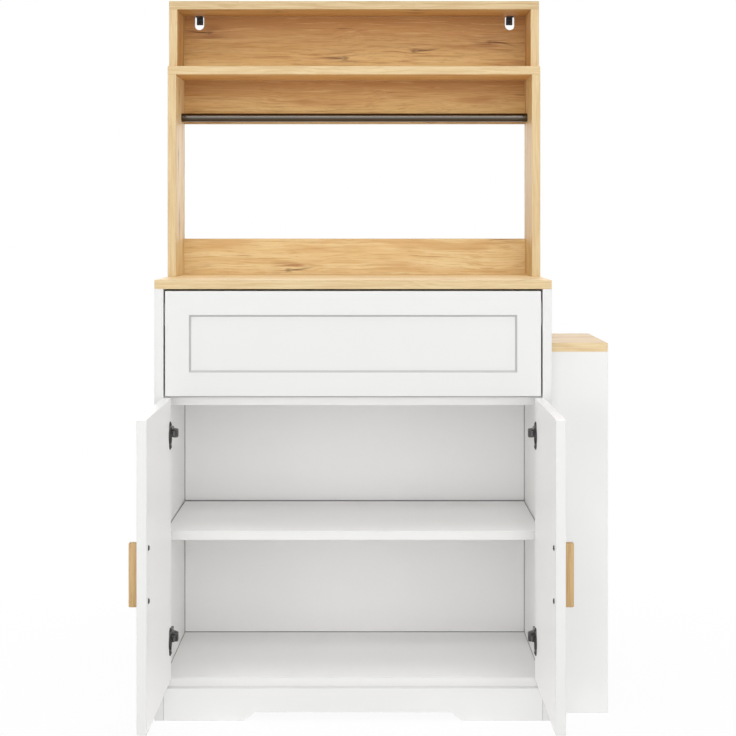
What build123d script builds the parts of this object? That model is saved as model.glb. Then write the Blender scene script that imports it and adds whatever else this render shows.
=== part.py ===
from build123d import *
import os

# Free-standing kitchen hutch: a white base cabinet with a drawer and two inset doors, an oak-look
# worktop and hutch, and a table leaf on a hollow leg that pulls out of the right side.
# Millimetres, +Z up, front towards -Y. Pieces are drawn with X from the cabinet's middle and Y from
# its front plane, and moved to the part's origin, the middle of its footprint, when they are written.
# The doors are drawn shut and then swung open, which is how the cabinet rests.

os.makedirs("parts", exist_ok=True)

# Boards
board = 18.0
back_thickness = 4.0
edge_break = 0.5

# Base cabinet
width = 800.0
depth = 400.0
base_height = 887.0
plinth_height = 65.0
bottom_setback = 15.0
divider_room = 2.0
divider_gap = 1.5
back_inset = 2.0
kick_notch_height = 17.5
kick_notch_top = 392.0
kick_notch_bottom = 440.0

# Shelf and its pins
lower_space = 277.0
shelf_room = 3.0
shelf_rear_gap = 6.0
shelf_end_gap = 1.0
pin_radius = 2.5
pin_depth = 8.0
pin_collar_radius = 3.5
pin_collar_length = 8.0
pin_inset = 39.0
pin_pitch = 64.0

# Drawer front and doors
frame_width = 48.0
panel_recess = 5.0
recess_slope = 4.0
drawer_gap_side = 3.5
drawer_gap_top = 4.0
drawer_front_height = 212.0
front_gap = 3.0
door_gap_side = 2.0
door_gap_middle = 2.0
door_gap_bottom = 1.5
door_opening = 90.0

# Door pivot, from the inner front corner of the cabinet side
pivot_in_side = 0.5
pivot_behind_front = 1.5

# Bar handles
handle_overhang = 10.0
handle_width = 14.0
handle_projection = 17.0
handle_round = 2.0
handle_edge_distance = 26.0
handle_height = 368.0
handle_screw_spacing = 96.0
handle_screw_in_bar = 11.0

# Concealed hinges
hinge_from_door_top = 73.0
hinge_from_door_foot = 80.5
cup_radius = 17.5
cup_depth = 11.0
cup_wall = 0.8
cup_edge_distance = 22.5
cup_tab_on_rim = 0.4
cup_tab_thickness = 1.4
cup_tab_height = 1.3
cup_tab_width = 6.0
flange_overhang = 6.0
flange_width = 18.0
flange_thickness = 1.0
cup_screw_spacing = 44.0
cup_screw_length = 10.0
plate_thickness = 3.0
plate_middle = 55.0
plate_length = 40.0
plate_height = 26.0
plate_wing_length = 14.0
plate_wing_overhang = 6.0
plate_screw_spacing = 40.0
arm_height = 16.0
arm_thickness = 9.0
arm_knee = 48.0
arm_shoulder = 30.0
nose_radius = 3.5
nose_out = 21.4
nose_behind_front = 12.5
hinge_pin_radius = 1.5
link_radius = 2.2
link_height = 11.0
link_side_gap = 0.2
link_seat_gap = 0.3

# Hutch
bay_height = 434.0
upper_bay_height = 125.0
hutch_depth = 174.0
upper_depth = 148.0
splash_height = 80.0
valance_height = 97.0
rail_radius = 9.5
rail_before_strip = 46.0
rail_above_valance_foot = 11.0
rail_in_side = 6.0

# Wall brackets and the notches that show them
bracket_inset = 34.5
bracket_width = 14.6
bracket_drop = 17.4
bracket_reach = 28.0
bracket_thickness = 2.0
bracket_round = 1.2
bracket_hole_radius = 1.8
bracket_hole_drop = 11.0
notch_width = 21.5
notch_depth = 30.0

# Drawer box and its slides
drawer_board = 12.0
drawer_rear_room = 26.0
drawer_box_height = 85.0
drawer_box_below_front = 5.0
drawer_floor_thickness = 5.0
drawer_floor_height = 8.0
drawer_groove = 6.0
groove_room = 0.2
leaf_headroom = 18.0
slide_thickness = 12.7
slide_height = 45.0
slide_rear_room = 24.0
slide_setback = 4.0
slide_sheet = 1.2
slide_outer_lip = 9.5
slide_head_room = 1.0
slide_web_room = 0.5
slide_lip_room = 1.4
slide_fit = 0.05
slide_screw_count = 3

# Pull-out table
leaf_margin = 50.0
leaf_end_gap = 10.0
leaf_travel = 500.0
leaf_run_gap = 0.2
slot_room = 2.0
stop_length = 30.0
stop_room = 0.5
leg_width = 120.0
leg_gap = 0.5
leg_floor_gap = 1.5
roller_headroom = 4.0
roller_radius = 20.0
roller_width = 18.0
roller_axle_radius = 4.0
roller_inset = 40.0
roller_edge = 2.0
fork_sheet = 2.0
fork_length = 20.0
fork_side_gap = 0.5
fork_below_axle = 7.0

# Screws, dowels and cam fittings
bore_room = 0.05
wood_screw_radius = 2.0
wood_screw_head = 3.6
wood_screw_length = 14.0
pan_head_radius = 3.4
pan_head_height = 1.7
machine_screw_radius = 2.0
machine_head_radius = 4.25
machine_head_height = 2.4
back_screw_count_up = 4
back_screw_count_across = 3
drawer_screw_spacing = 520.0
drawer_screw_rows = 40.0
front_screw_cover = 6.0
side_screw_cover = 2.4
dowel_radius = 4.0
dowel_in_face = 11.0
dowel_in_edge = 19.0
dowel_inset = 35.0
worktop_dowel_inset = 60.0
upper_dowel_inset = 55.0
strip_dowel_inset = 22.0
carrier_dowel_spread = 250.0
cam_radius = 7.5
cam_depth = 12.5
cam_inset = 34.0
cam_from_edges = 60.0
cam_bolt_radius = 3.0
cam_bolt_in_side = 11.0
cam_slot_width = 1.6
cam_slot_depth = 2.0

# Levels and limits that follow
inner = width / 2 - board
rear = depth - back_thickness
side_middle = inner + board / 2
side_x = (-width / 2, -inner)
between_x = (-inner, inner)
overall_x = (-width / 2, width / 2)
worktop_underside = base_height - board
divider_setback = board + divider_room
bottom_top = plinth_height + board
shelf_underside = bottom_top + lower_space
shelf_y = (board + shelf_room, rear - shelf_rear_gap)
drawer_top = worktop_underside - drawer_gap_top
drawer_foot = drawer_top - drawer_front_height
divider_top = drawer_foot - divider_gap
divider_underside = divider_top - board
door_top = drawer_foot - front_gap
door_foot = bottom_top + door_gap_bottom
door_edge = -(inner - door_gap_side)
hutch_setback = depth - hutch_depth
upper_setback = depth - upper_depth
mid_underside = base_height + bay_height
mid_top = mid_underside + board
top_underside = mid_top + upper_bay_height
strip_front = depth - board
strip_y = (strip_front, depth)
valance_foot = mid_underside - valance_height
drawer_box_top = drawer_top - drawer_box_below_front
drawer_box_foot = drawer_box_top - drawer_box_height
drawer_box_half = inner - slide_thickness
drawer_box_rear = rear - drawer_rear_room
slide_level = drawer_box_foot + drawer_box_height / 2
table_height = drawer_box_foot - leaf_headroom
leaf_underside = table_height - board
leaf_front = leaf_margin
leaf_rear = depth - leaf_margin
leg_inner_face = width / 2 + leg_gap
leg_outer_face = width / 2 + leg_width
pivot = (-(inner + pivot_in_side), pivot_behind_front)
nose = (-(inner - nose_out), nose_behind_front)
hinge_levels = (door_top - hinge_from_door_top, door_foot + hinge_from_door_foot)
cup_x = door_edge + cup_edge_distance
tab_x = cup_x - cup_radius - flange_thickness + cup_tab_on_rim
tab_top = board + flange_thickness + cup_tab_height

# Footprint at rest, doors open
door_open_face = pivot[0] - pivot_behind_front
left_reach = door_open_face - handle_projection
front_reach = pivot_behind_front - (-door_gap_middle / 2 - pivot[0])
row_origin = Pos(-(left_reach + leg_outer_face) / 2, -(front_reach + depth) / 2, 0)

up = (0, 0, 1)
down = (0, 0, -1)
inwards = (1, 0, 0)
outwards = (-1, 0, 0)
backwards = (0, 1, 0)


def block(x, y, z):
    """Box between a low and a high limit along each axis."""
    return Pos(sum(x) / 2, sum(y) / 2, sum(z) / 2) * Box(x[1] - x[0], y[1] - y[0], z[1] - z[0])


def panel(x, y, z):
    """Board with its edges eased."""
    return chamfer(block(x, y, z).edges(), edge_break)


def plan(points, low, high):
    """Upright prism between two levels from the corners of its plan."""
    return Pos(0, 0, low) * extrude(make_face(Polyline(*points, close=True)), high - low, dir=up)


def turned(points):
    """Round piece about +Z from the radius and height of each corner of its half section."""
    return revolve(make_face(Plane.XZ * Polyline(*points, close=True)), Axis.Z)


def rod(radius, length):
    """Round bar standing on height 0."""
    return Pos(0, 0, length / 2) * Cylinder(radius, length)


def facing(point, direction, solid):
    """Solid carried to a point, with its +Z turned to a direction."""
    return Plane(origin=point, z_dir=direction) * solid


def mirrored(solid):
    """Right-hand twin of a left-hand solid."""
    return mirror(solid, about=Plane.YZ)


def pair(solids):
    """Left-hand solids and their right-hand twins."""
    return [*solids, *(mirrored(solid) for solid in solids)]


def turned_about(axis_point, angle, solid):
    """Solid turned about an upright axis."""
    x, y = axis_point
    return Pos(x, y, 0) * Rot(0, 0, angle) * Pos(-x, -y, 0) * solid


def opened(solid):
    """Left door piece swung from shut to its resting place."""
    return turned_about(pivot, -door_opening, solid)


def drilled(solid, bores):
    """Solid less the bores that reach it."""
    box = solid.bounding_box()
    near = [bore for bore in bores if box.overlaps(bore.bounding_box())]
    return solid - near if near else solid


def inset_from(low, high, inset):
    """Two places, one near each end."""
    return (low + inset, high - inset)


def spread(low, high, count):
    """Places that share a length evenly."""
    return [low + (high - low) * (index + 0.5) / count for index in range(count)]


def flat_screw(length, room=0.0):
    """Countersunk screw, head flush at height 0 and point below; with room, the bore for it."""
    shank = wood_screw_radius + room
    head = wood_screw_head + room
    return turned([(0, 0), (head, 0), (shank, shank - head), (shank, -length - room), (0, -length - room)])


def pan_screw(shank, head, head_height, length):
    """Pan-head screw, head standing on height 0 and shank below."""
    crown = head - head_height / 2
    return turned([(0, head_height), (crown, head_height), (head, head_height / 2), (head, 0),
                   (shank, 0), (shank, -length), (0, -length)])


def screw_bore(shank, length):
    """Bore below height 0 for a pan-head screw."""
    return Pos(0, 0, -length - bore_room) * rod(shank + bore_room, length + bore_room)


def dowel(point, into_edge, room=0.0):
    """Wooden dowel across the joint at a point, long end into a board's edge; with room, its bore."""
    length = dowel_in_face + dowel_in_edge + 2 * room
    return facing(point, into_edge, Pos(0, 0, -dowel_in_face - room) * rod(dowel_radius + room, length))


def save(node, *solids):
    """Write one node, moved to the part's origin."""
    pieces = [piece for solid in solids for piece in (row_origin * solid).solids()]
    export_step(pieces[0] if len(pieces) == 1 else Compound(pieces), f"parts/{node}.step")


# Wooden dowels: worktop, hutch boards, back strips, toe-kick and leaf carriers
left_joints = [((-side_middle, y, worktop_underside), down) for y in inset_from(0, rear, worktop_dowel_inset)]
for y in inset_from(hutch_setback, depth, dowel_inset):
    left_joints += [((-side_middle, y, base_height), up), ((-side_middle, y, mid_underside), down)]
for y in inset_from(upper_setback, depth, upper_dowel_inset):
    left_joints += [((-side_middle, y, mid_top), up), ((-side_middle, y, top_underside), down)]
strip_levels = [
    *inset_from(base_height, base_height + splash_height, strip_dowel_inset),
    *inset_from(valance_foot, mid_underside, strip_dowel_inset),
    *inset_from(mid_top, top_underside - notch_depth, strip_dowel_inset),
]
left_joints += [((-inner, depth - board / 2, z), inwards) for z in strip_levels]
left_joints += [((-inner, board / 2, z), inwards) for z in inset_from(0, plinth_height, strip_dowel_inset)]
carrier_middles = (leaf_front + board / 2, leaf_rear - board / 2)
left_joints += [((-carrier_dowel_spread, y, divider_top), up) for y in carrier_middles]
bores = pair([dowel(point, into_edge, bore_room) for point, into_edge in left_joints])
save("wood_dowels", *pair([dowel(point, into_edge) for point, into_edge in left_joints]))

# Cam fittings under the bottom board and the divider
cam_fittings = []
for underside in (plinth_height, divider_underside):
    for y in inset_from(0, rear, cam_from_edges):
        cam_place = (-inner + cam_inset, y, underside)
        slot = block((-cam_radius, cam_radius), (-cam_slot_width / 2, cam_slot_width / 2),
                     (-cam_slot_depth, 0))
        cam = Pos(0, 0, -cam_depth) * rod(cam_radius, cam_depth)
        bolt_start = (-inner - cam_bolt_in_side, y, underside + board / 2)
        bolt_length = cam_bolt_in_side + cam_inset - cam_radius - bore_room
        cam_fittings += [facing(cam_place, down, cam - slot)]
        cam_fittings += [facing(bolt_start, inwards, rod(cam_bolt_radius, bolt_length))]
        cam_bore = Pos(0, 0, -cam_depth - bore_room) * rod(cam_radius + bore_room, cam_depth + bore_room)
        bores += pair([facing(cam_place, down, cam_bore)])
        bore_length = cam_bolt_in_side + cam_inset + bore_room
        bolt_bore = Pos(0, 0, -bore_room) * rod(cam_bolt_radius + bore_room, bore_length)
        bores += pair([facing(bolt_start, inwards, bolt_bore)])
save("cam_fittings", *pair(cam_fittings))

# Screws that hold the hardboard back to the sides, the bottom and the divider
back_screw_places = [(x, depth, z) for x in (-side_middle, side_middle)
                     for z in spread(plinth_height, worktop_underside, back_screw_count_up)]
for z in (plinth_height + board / 2, divider_underside + board / 2):
    back_screw_places += [(x, depth, z) for x in spread(*between_x, back_screw_count_across)]
bores += [facing(place, backwards, flat_screw(wood_screw_length, bore_room)) for place in back_screw_places]
save("back_panel_screws",
     *[facing(place, backwards, flat_screw(wood_screw_length)) for place in back_screw_places])

# Shelf pins, with spare holes above and below
pin_level = shelf_underside - pin_collar_radius
pin_profile = [(0, -pin_depth), (pin_radius, -pin_depth), (pin_radius, 0), (pin_collar_radius, 0),
               (pin_collar_radius, pin_collar_length), (0, pin_collar_length)]
pin_places = [(-inner, y, pin_level) for y in inset_from(*shelf_y, pin_inset)]
pin_bore = Pos(0, 0, -pin_depth - bore_room) * rod(pin_radius + bore_room, pin_depth + bore_room)
for rise in (-pin_pitch, 0, pin_pitch):
    bores += pair([facing((x, y, z + rise), inwards, pin_bore) for x, y, z in pin_places])
save("shelf_pins", *pair([facing(place, inwards, turned(pin_profile)) for place in pin_places]))

# Hinge plates and arms on the cabinet sides
plate_screw_places = [(-inner + plate_thickness, plate_middle, level + offset) for level in hinge_levels
                      for offset in (-plate_screw_spacing / 2, plate_screw_spacing / 2)]
plate_bores = [facing(place, inwards, flat_screw(wood_screw_length, bore_room))
               for place in plate_screw_places]
bores += pair(plate_bores)
save("hinge_plate_screws",
     *pair([facing(place, inwards, flat_screw(wood_screw_length)) for place in plate_screw_places]))

plate_x = (-inner, -inner + plate_thickness)
plate_y = (plate_middle - plate_length / 2, plate_middle + plate_length / 2)
wing_y = (plate_middle - plate_wing_length / 2, plate_middle + plate_wing_length / 2)
arm_outer = plate_x[1] + arm_thickness
wing_half = plate_screw_spacing / 2 + plate_wing_overhang
arm_plan = [
    (plate_x[1], plate_y[1]), (arm_outer, plate_y[1]), (arm_outer, arm_knee),
    (nose[0] + nose_radius, arm_shoulder), (nose[0] + nose_radius, nose[1]), (nose[0] - nose_radius, nose[1]),
    (nose[0] - nose_radius, nose[1] + 2 * nose_radius), (plate_x[1], plate_y[0] + nose_radius),
]
fork_gap = link_height / 2 + link_side_gap
plates = []
arms = []
for level in hinge_levels:
    plate = block(plate_x, plate_y, (level - plate_height / 2, level + plate_height / 2))
    plate += block(plate_x, wing_y, (level - wing_half, level + wing_half))
    plates.append(drilled(plate, plate_bores))
    low = level - arm_height / 2
    arm = plan(arm_plan, low, level + arm_height / 2) + Pos(*nose, low) * rod(nose_radius, arm_height)
    reach = nose_radius + link_side_gap
    arm -= block((nose[0] - reach, nose[0] + reach), (nose[1] - reach, nose[1] + reach),
                 (level - fork_gap, level + fork_gap))
    arms.append(arm + Pos(*nose, low) * rod(hinge_pin_radius, arm_height))
save("hinge_plates", *pair(plates))
save("hinge_arms", *pair(arms))

# Hinge links, pinned in the arm's nose, whose free end meets the cup's tab when the door is open
seat_reach = (link_radius + link_seat_gap) / 2 ** 0.5
seat_from_pivot = Vector(tab_x - seat_reach - pivot[0], tab_top + seat_reach - pivot[1])
link_run = Vector(*pivot) + seat_from_pivot.rotate(Axis.Z, -door_opening) - Vector(*nose)
link = (rod(link_radius, link_height) + Pos(link_run.length, 0, 0) * rod(link_radius, link_height)
        + block((0, link_run.length), (-link_radius, link_radius), (0, link_height))
        - rod(hinge_pin_radius + bore_room, link_height))
links = [Plane(origin=(*nose, level - link_height / 2), x_dir=link_run, z_dir=up) * link
         for level in hinge_levels]
save("left_hinge_links", *links)
save("right_hinge_links", *[mirrored(link) for link in links])

# Drawer slides: outer on the cabinet side, middle, and inner on the drawer
slide_y = (board + slide_setback, rear - slide_rear_room)
slide_middle_web = slide_sheet + pan_head_height + slide_head_room
slide_middle_lip = slide_thickness - slide_sheet - slide_web_room
slide_inner_lip = slide_middle_web + slide_sheet + slide_lip_room
middle_half = slide_height / 2 - slide_sheet - slide_fit
inner_half = middle_half - slide_sheet - slide_fit


def channel(web, lip, half):
    """Sheet channel along Y: web at one distance from the cabinet side, lips reaching to another."""
    towards = slide_sheet if lip > web else -slide_sheet
    web_x = sorted((-inner + web, -inner + web + towards))
    lip_x = sorted((-inner + web, -inner + lip))
    section = block(web_x, slide_y, (slide_level - half, slide_level + half))
    section += block(lip_x, slide_y, (slide_level + half - slide_sheet, slide_level + half))
    return section + block(lip_x, slide_y, (slide_level - half, slide_level - half + slide_sheet))


slide_screw_rows = spread(*slide_y, slide_screw_count)
side_screw_places = [(-inner + slide_sheet, y, slide_level) for y in slide_screw_rows]
side_screw = pan_screw(wood_screw_radius, pan_head_radius, pan_head_height, wood_screw_length)
side_screw_bores = [facing(place, inwards, screw_bore(wood_screw_radius, wood_screw_length))
                    for place in side_screw_places]
bores += pair(side_screw_bores)
save("slide_screws", *pair([facing(place, inwards, side_screw) for place in side_screw_places]))
save("slide_outers", *pair([drilled(channel(0, slide_outer_lip, slide_height / 2), side_screw_bores)]))
save("slide_middles", *pair([channel(slide_middle_web, slide_middle_lip, middle_half)]))

# Base cabinet boards
rail_level = valance_foot + rail_above_valance_foot
rail_half = inner + rail_in_side
rail_behind_front = strip_front - rail_before_strip
rail_start = (-rail_half, rail_behind_front, rail_level)
rail_bore = facing((-rail_half - bore_room, rail_behind_front, rail_level), inwards,
                   rod(rail_radius + bore_room, 2 * (rail_half + bore_room)))
base_side = drilled(panel(side_x, (0, rear), (0, worktop_underside)), bores)
leaf_slot = block((inner, width / 2), (leaf_front - slot_room, leaf_rear + slot_room),
                  (leaf_underside - slot_room, table_height + slot_room))
save("base_side_left", base_side)
save("base_side_right", mirrored(base_side) - leaf_slot)
save("base_bottom", drilled(panel(between_x, (bottom_setback, rear), (plinth_height, bottom_top)), bores))
save("base_divider",
     drilled(panel(between_x, (divider_setback, rear), (divider_underside, divider_top)), bores))
save("base_back", drilled(block((-width / 2 + back_inset, width / 2 - back_inset), (rear, depth),
                                (plinth_height, worktop_underside)), bores))
save("countertop", drilled(panel(overall_x, (0, depth), (worktop_underside, base_height)), bores))
shelf_half = inner - shelf_end_gap
save("base_shelf", panel((-shelf_half, shelf_half), shelf_y, (shelf_underside, shelf_underside + board)))

kick_notch = [(-kick_notch_bottom / 2, 0), (-kick_notch_top / 2, kick_notch_height),
              (kick_notch_top / 2, kick_notch_height), (kick_notch_bottom / 2, 0)]
kick = panel(between_x, (0, board), (0, plinth_height))
kick -= extrude(make_face(Plane.XZ * Polyline(*kick_notch, close=True)), board, dir=backwards)
save("toe_kick", drilled(kick, bores))

# Boards on edge that carry the table leaf
carriers = [panel(between_x, (middle - board / 2, middle + board / 2),
                  (divider_top, leaf_underside - leaf_run_gap)) for middle in carrier_middles]
save("leaf_carriers", *[drilled(carrier, bores) for carrier in carriers])

# Hutch boards
hutch_bores = [*bores, rail_bore]
hutch_side = drilled(panel(side_x, (hutch_setback, depth), (base_height, mid_underside)), hutch_bores)
save("hutch_side_left", hutch_side)
save("hutch_side_right", mirrored(hutch_side))
save("hutch_mid_shelf", drilled(panel(overall_x, (hutch_setback, depth), (mid_underside, mid_top)), bores))
upper_side = drilled(panel(side_x, (upper_setback, depth), (mid_top, top_underside)), bores)
save("hutch_upper_side_left", upper_side)
save("hutch_upper_side_right", mirrored(upper_side))
save("hutch_splashback",
     drilled(panel(between_x, strip_y, (base_height, base_height + splash_height)), bores))
save("hutch_valance", drilled(panel(between_x, strip_y, (valance_foot, mid_underside)), bores))
save("hook_rail", facing(rail_start, inwards, rod(rail_radius, 2 * rail_half)))

# Wall brackets that hang under the top, in notches of the upper back
bracket_x = -(inner - bracket_inset)
bracket_sides = (bracket_x - bracket_width / 2, bracket_x + bracket_width / 2)
bracket = block(bracket_sides, (depth - bracket_thickness, depth),
                (top_underside - bracket_drop, top_underside))
bracket = fillet(bracket.edges().filter_by(Axis.Y).group_by(Axis.Z)[0], bracket_round)
bracket += block(bracket_sides, (depth - bracket_reach, depth),
                 (top_underside - bracket_thickness, top_underside))
bracket -= facing((bracket_x, depth - bracket_thickness, top_underside - bracket_hole_drop), backwards,
                  rod(bracket_hole_radius, bracket_thickness))
bracket_screw_place = (bracket_x, depth - bracket_reach + bracket_width / 2,
                       top_underside - bracket_thickness)
bracket_bores = [facing(bracket_screw_place, down, flat_screw(wood_screw_length, bore_room))]
save("wall_brackets", *pair([drilled(bracket, bracket_bores)]))
save("wall_bracket_screws", *pair([facing(bracket_screw_place, down, flat_screw(wood_screw_length))]))

hutch_top = panel(overall_x, (upper_setback, depth), (top_underside, top_underside + board))
save("hutch_top", drilled(hutch_top, [*bores, *pair(bracket_bores)]))

notch_turn = top_underside - notch_depth + notch_width / 2
notch = block((bracket_x - notch_width / 2, bracket_x + notch_width / 2), strip_y,
              (notch_turn, top_underside))
notch += facing((bracket_x, strip_front, notch_turn), backwards, rod(notch_width / 2, board))
upper_back = panel(between_x, strip_y, (mid_top, top_underside)) - pair([notch])
save("hutch_upper_back", drilled(upper_back, bores))


def upright_sheet(x, y, z):
    """Flat rectangle that faces the front."""
    face = Plane((sum(x) / 2, y, sum(z) / 2), x_dir=(1, 0, 0), z_dir=(0, -1, 0))
    return face * Rectangle(x[1] - x[0], z[1] - z[0])


def framed_front(x, z):
    """Front board with a flat panel sunk inside a raised frame that slopes down to it."""
    reach = frame_width + recess_slope
    mouth = upright_sheet(inset_from(*x, frame_width), 0, inset_from(*z, frame_width))
    floor = upright_sheet(inset_from(*x, reach), panel_recess, inset_from(*z, reach))
    return panel(x, (0, board), z) - loft([mouth, floor])


# Doors, drawn shut; a tab on each cup's rim meets the hinge link when the door is open
door_x = (door_edge, -door_gap_middle / 2)
handle_x = door_x[1] - handle_edge_distance
handle_half = handle_screw_spacing / 2 + handle_overhang
handle_z = (handle_height - handle_half, handle_height + handle_half)
handle = block((handle_x - handle_width / 2, handle_x + handle_width / 2), (-handle_projection, 0), handle_z)
handle = fillet([*handle.edges().filter_by(Axis.Y), *handle.edges().group_by(Axis.Y)[0]], handle_round)
handle_screw_length = board + handle_screw_in_bar
handle_screw_places = [(handle_x, board, z) for z in (handle_height - handle_screw_spacing / 2,
                                                       handle_height + handle_screw_spacing / 2)]
handle_screw = pan_screw(machine_screw_radius, machine_head_radius, machine_head_height, handle_screw_length)
handle_bores = [facing(place, backwards, screw_bore(machine_screw_radius, handle_screw_length))
                for place in handle_screw_places]

flange_half = cup_screw_spacing / 2 + flange_overhang
cup_screw = pan_screw(wood_screw_radius, pan_head_radius, pan_head_height, cup_screw_length)
cup_screw_places = [(cup_x, board + flange_thickness, level + offset) for level in hinge_levels
                    for offset in (-cup_screw_spacing / 2, cup_screw_spacing / 2)]
cup_screw_bores = [facing(place, backwards, screw_bore(wood_screw_radius, cup_screw_length))
                   for place in cup_screw_places]
cups = []
cup_bores = []
for level in hinge_levels:
    flange = block((cup_x - flange_width / 2, cup_x + flange_width / 2), (board, board + flange_thickness),
                   (level - flange_half, level + flange_half))
    flange = fillet(flange.edges().filter_by(Axis.Y), flange_width / 2 - bore_room)
    rim = facing((cup_x, board, level), backwards, rod(cup_radius + flange_thickness, flange_thickness))
    bowl = facing((cup_x, board - cup_depth, level), backwards, rod(cup_radius, cup_depth))
    hollow = facing((cup_x, board - cup_depth + cup_wall, level), backwards,
                    rod(cup_radius - cup_wall, cup_depth + flange_thickness))
    tab = block((tab_x, tab_x + cup_tab_thickness), (board, tab_top),
                (level - cup_tab_width / 2, level + cup_tab_width / 2))
    cups.append(drilled(flange + rim + bowl - hollow + tab, cup_screw_bores))
    cup_bores.append(facing((cup_x, board - cup_depth - bore_room, level), backwards,
                            rod(cup_radius + bore_room, cup_depth + bore_room)))
door = drilled(framed_front(door_x, (door_foot, door_top)), [*handle_bores, *cup_bores, *cup_screw_bores])
door_screws = [facing(place, backwards, handle_screw) for place in handle_screw_places]
door_screws += [facing(place, backwards, cup_screw) for place in cup_screw_places]

left_door_pieces = {
    "door": [door],
    "handle": [drilled(handle, handle_bores)],
    "hinge_cups": cups,
    "door_screws": door_screws,
}
for piece, solids in left_door_pieces.items():
    swung = [opened(solid) for solid in solids]
    save(f"left_{piece}", *swung)
    save(f"right_{piece}", *[mirrored(solid) for solid in swung])

# Drawer: framed front on a box that runs above the table leaf
drawer_half = inner - drawer_gap_side
box_inner = drawer_box_half - drawer_board
drawer_floor_foot = drawer_box_foot + drawer_floor_height
drawer_floor_z = (drawer_floor_foot, drawer_floor_foot + drawer_floor_thickness)
floor_half = box_inner + drawer_groove - groove_room
box_z = (drawer_box_foot, drawer_box_top)
box_front_y = (board, board + drawer_board)
box_back_y = (drawer_box_rear - drawer_board, drawer_box_rear)
floor_y = (box_front_y[1] - drawer_groove + groove_room, box_back_y[0] + drawer_groove - groove_room)
drawer_floor = block((-floor_half, floor_half), floor_y, drawer_floor_z)
floor_groove = block((-floor_half - groove_room, floor_half + groove_room),
                     (floor_y[0] - groove_room, floor_y[1] + groove_room), drawer_floor_z)

front_screw_length = drawer_board + board - panel_recess - front_screw_cover
front_screw = pan_screw(wood_screw_radius, pan_head_radius, pan_head_height, front_screw_length)
front_screw_places = [(x, box_front_y[1], slide_level + z)
                      for x in (-drawer_screw_spacing / 2, drawer_screw_spacing / 2)
                      for z in (-drawer_screw_rows / 2, drawer_screw_rows / 2)]
front_bores = [facing(place, backwards, screw_bore(wood_screw_radius, front_screw_length))
               for place in front_screw_places]
member_screw_length = slide_sheet + drawer_board - side_screw_cover
member_screw = pan_screw(wood_screw_radius, pan_head_radius, pan_head_height, member_screw_length)
member_screw_places = [(-drawer_box_half - slide_sheet, y, slide_level) for y in slide_screw_rows]
member_bores = [facing(place, outwards, screw_bore(wood_screw_radius, member_screw_length))
                for place in member_screw_places]

drawer_side = block((-drawer_box_half, -box_inner), (board, drawer_box_rear), box_z) - floor_groove
drawer_side = drilled(drawer_side, member_bores)
save("drawer_side_left", drawer_side)
save("drawer_side_right", mirrored(drawer_side))
drawer_front = framed_front((-drawer_half, drawer_half), (drawer_foot, drawer_top))
save("drawer_front", drilled(drawer_front, front_bores))
box_x = (-box_inner, box_inner)
save("drawer_box_front", drilled(block(box_x, box_front_y, box_z) - floor_groove, front_bores))
save("drawer_back", block(box_x, box_back_y, box_z) - floor_groove)
save("drawer_bottom", drawer_floor)
drawer_screws = [facing(place, backwards, front_screw) for place in front_screw_places]
drawer_screws += pair([facing(place, outwards, member_screw) for place in member_screw_places])
save("drawer_screws", *drawer_screws)
save("slide_inners", *pair([drilled(channel(slide_thickness, slide_inner_lip, inner_half), member_bores)]))

# Pull-out table: leaf, stop batten and hollow leg on two rollers
leaf_start = -inner + leaf_end_gap
leg_z = (leg_floor_gap, leaf_underside)
leg_x = (leg_inner_face, leg_outer_face)
leg_between = (leaf_front + board, leaf_rear - board)
roller_x = sum(leg_x) / 2
leg_base_underside = 2 * roller_radius + roller_headroom + fork_sheet
stop_end = inner - leaf_travel - stop_room
stop_y = (leg_between[0] + slot_room, leg_between[1] - slot_room)
save("table_leaf", panel((leaf_start, leg_x[1]), (leaf_front, leaf_rear), (leaf_underside, table_height)))
save("leaf_stop",
     panel((stop_end - stop_length, stop_end), stop_y, (leaf_underside - board, leaf_underside)))
save("leg_front", panel(leg_x, (leaf_front, leg_between[0]), leg_z))
save("leg_back", panel(leg_x, (leg_between[1], leaf_rear), leg_z))
save("leg_inner", panel((leg_x[0], leg_x[0] + board), leg_between, leg_z))
save("leg_outer", panel((leg_x[1] - board, leg_x[1]), leg_between, leg_z))
save("leg_base", panel((leg_x[0] + board, leg_x[1] - board), leg_between,
                       (leg_base_underside, leg_base_underside + board)))

roller_rows = {"front": leg_between[0] + roller_inset, "rear": leg_between[1] - roller_inset}
cheek = roller_width / 2 + fork_side_gap
fork_z = (roller_radius - fork_below_axle, leg_base_underside)
fork_x = (roller_x - fork_length / 2, roller_x + fork_length / 2)
axle_half = cheek + fork_sheet
forks = []
for row, y in roller_rows.items():
    axle_start = (roller_x, y - axle_half, roller_radius)
    fork = block(fork_x, (y - axle_half, y + axle_half), fork_z)
    fork -= block(fork_x, (y - cheek, y + cheek), (fork_z[0], fork_z[1] - fork_sheet))
    fork -= facing(axle_start, backwards, rod(roller_axle_radius + bore_room, 2 * axle_half))
    forks += [fork, facing(axle_start, backwards, rod(roller_axle_radius, 2 * axle_half))]
    bore = roller_axle_radius + bore_room
    tread = [(bore, 0), (roller_radius - roller_edge, 0), (roller_radius, roller_edge),
             (roller_radius, roller_width - roller_edge), (roller_radius - roller_edge, roller_width),
             (bore, roller_width)]
    roller_start = (roller_x, y - roller_width / 2, roller_radius)
    save(f"leg_roller_{row}", facing(roller_start, backwards, turned(tread)))
save("roller_forks", *forks)
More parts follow.
